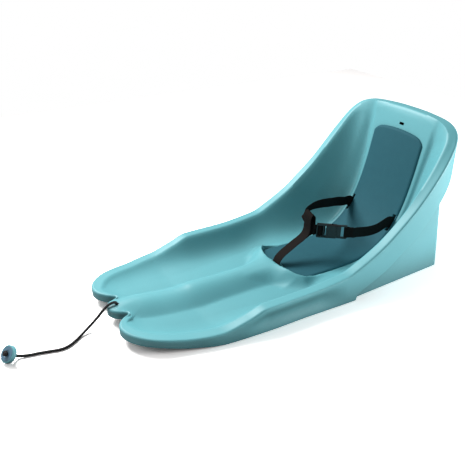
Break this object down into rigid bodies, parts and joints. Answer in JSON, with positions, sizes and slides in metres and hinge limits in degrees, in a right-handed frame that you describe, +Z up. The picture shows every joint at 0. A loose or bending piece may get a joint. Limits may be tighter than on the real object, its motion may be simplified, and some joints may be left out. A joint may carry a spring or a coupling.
{
  "type": "baby pull sled",
  "caption": "Moulded pull sled for a small child with seat pad, three-strap harness, side-release buckle and a tow cord with a round knob.",
  "frame": {"origin": "middle of the shell's outline at ground level", "axes": "+Z up, -Y to the front where the cord is, +X to the rider's left"},
  "size_m": [0.3806, 1.0009, 0.335],
  "materials": {
    "shell_plastic": "satin",
    "pad_foam": "matte",
    "webbing": "matte",
    "black_plastic": "satin",
    "cord": "matte",
    "knob_face_plastic": "satin"
  },
  "bodies": {
    "sled": {"sled_shell": "shell_plastic", "seat_pad": "pad_foam", "lap_strap_left": "webbing", "lap_strap_right": "webbing", "crotch_strap": "webbing", "strap_stop_left": "black_plastic", "strap_stop_right": "black_plastic", "strap_stop_crotch": "black_plastic", "buckle_socket": "black_plastic", "buckle_plug": "black_plastic", "tow_cord": "cord", "cord_stop_knot": "cord", "knob_body": "shell_plastic", "knob_face": "knob_face_plastic", "knob_knot": "cord"},
    "prong_upper": {"buckle_prong_upper": "black_plastic"},
    "prong_lower": {"buckle_prong_lower": "black_plastic"}
  },
  "joints": [
    {"name": "prong_upper_squeeze", "type": "hinge", "parent": "sled", "child": "prong_upper", "pos_m": [0.04624, 0.15216, 0.0953], "axis": [0.805, -0.5932, 0], "range_deg": [0, 6], "stiffness_Nm_per_rad": 0.3},
    {"name": "prong_lower_squeeze", "type": "hinge", "parent": "sled", "child": "prong_lower", "pos_m": [0.04596, 0.15177, 0.07831], "axis": [-0.805, 0.5932, 0], "range_deg": [0, 6], "stiffness_Nm_per_rad": 0.3}
  ],
  "couplings": [
    {"joint": "prong_lower_squeeze", "follows": "prong_upper_squeeze", "ratio": 1}
  ]
}
